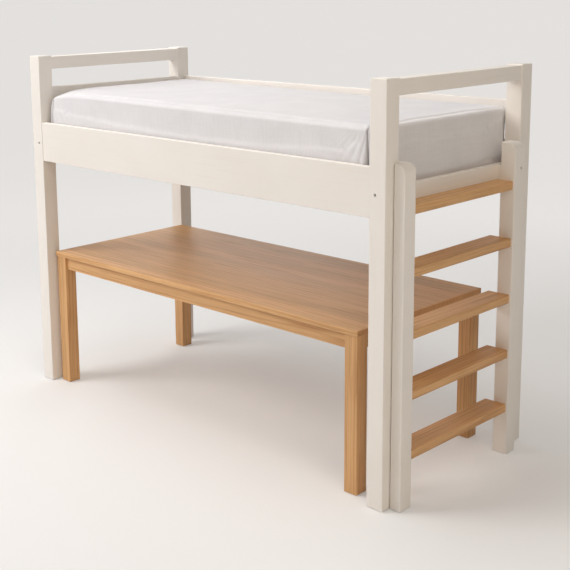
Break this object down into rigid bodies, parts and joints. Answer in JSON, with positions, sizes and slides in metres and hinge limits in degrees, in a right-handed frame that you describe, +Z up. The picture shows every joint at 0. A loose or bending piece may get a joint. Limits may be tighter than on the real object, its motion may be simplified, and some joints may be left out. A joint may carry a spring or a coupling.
{
  "type": "cabin bed",
  "caption": "Raised single bed with a boxed mattress, an open ladder end with bolted ladder, and a plain oak table standing beneath between the posts.",
  "frame": {"origin": "on the floor, under the middle of the outline over posts and ladder", "axes": "+X from the head end to the ladder end, +Y from the open front to the back, +Z up"},
  "size_m": [2.21, 0.958, 1.62],
  "materials": {
    "painted_wood": "solid pine, satin off-white paint",
    "oiled_oak": "oak with a clear satin oil",
    "planed_pine": "planed bare pine",
    "dowel_wood": "turned bare beech",
    "zinc_steel": "zinc plated",
    "webbing": "flat woven tape",
    "felt": "pressed felt",
    "mattress_ticking": "woven cover over foam",
    "cotton_sheet": "plain woven cotton"
  },
  "bodies": {
    "frame": {"post_front_head": "painted_wood", "post_back_head": "painted_wood", "post_front_ladder": "painted_wood", "post_back_ladder": "painted_wood", "side_rail_front": "painted_wood", "side_rail_back": "painted_wood", "back_guard_rail": "painted_wood", "head_guard_rail": "painted_wood", "head_lower_rail": "painted_wood", "ladder_end_lower_rail": "painted_wood", "head_top_rail": "painted_wood", "ladder_end_top_rail": "painted_wood", "ladder_stile_front": "painted_wood", "ladder_stile_back": "painted_wood", "ladder_spacer_front": "painted_wood", "ladder_spacer_back": "painted_wood", "ladder_rung_1": "oiled_oak", "ladder_rung_2": "oiled_oak", "ladder_rung_3": "oiled_oak", "ladder_rung_4": "oiled_oak", "ladder_rung_5": "oiled_oak", "slat_ledge_front": "planed_pine", "slat_ledge_back": "planed_pine", "bed_slats": "planed_pine", "rail_dowels": "dowel_wood", "guard_dowels": "dowel_wood", "top_rail_dowels": "dowel_wood", "rung_dowels": "dowel_wood", "ledge_screws": "zinc_steel", "slat_screws": "zinc_steel", "rail_studs": "zinc_steel", "stud_barrel_nuts": "zinc_steel", "end_rail_bolts": "zinc_steel", "end_rail_barrel_nuts": "zinc_steel", "ladder_screws": "zinc_steel", "ladder_bolt": "zinc_steel", "ladder_bolt_insert": "zinc_steel", "slat_tapes": "webbing", "post_felt_pads": "felt", "ladder_felt_pads": "felt"},
    "mattress": {"mattress": "mattress_ticking", "fitted_sheet": "cotton_sheet"},
    "table": {"table_top": "oiled_oak", "table_leg_front_head": "oiled_oak", "table_leg_back_head": "oiled_oak", "table_leg_front_ladder": "oiled_oak", "table_leg_back_ladder": "oiled_oak", "table_apron_front": "oiled_oak", "table_apron_back": "oiled_oak", "table_apron_head": "oiled_oak", "table_apron_ladder": "oiled_oak", "table_bearer": "oiled_oak", "table_corner_brackets": "zinc_steel", "table_hanger_bolts": "zinc_steel", "table_hanger_nuts": "zinc_steel", "table_top_clips": "zinc_steel", "table_felt_pads": "felt", "bearer_dowels": "dowel_wood", "bracket_screws": "zinc_steel", "clip_screws": "zinc_steel"}
  },
  "joints": [
    {"name": "table_slide", "type": "slide", "parent": "frame", "child": "table", "axis": [0, -1, 0], "range_m": [0, 0.9]},
    {"name": "mattress_lift", "type": "slide", "parent": "frame", "child": "mattress", "axis": [0, 0, 1], "range_m": [0, 0.3]}
  ]
}
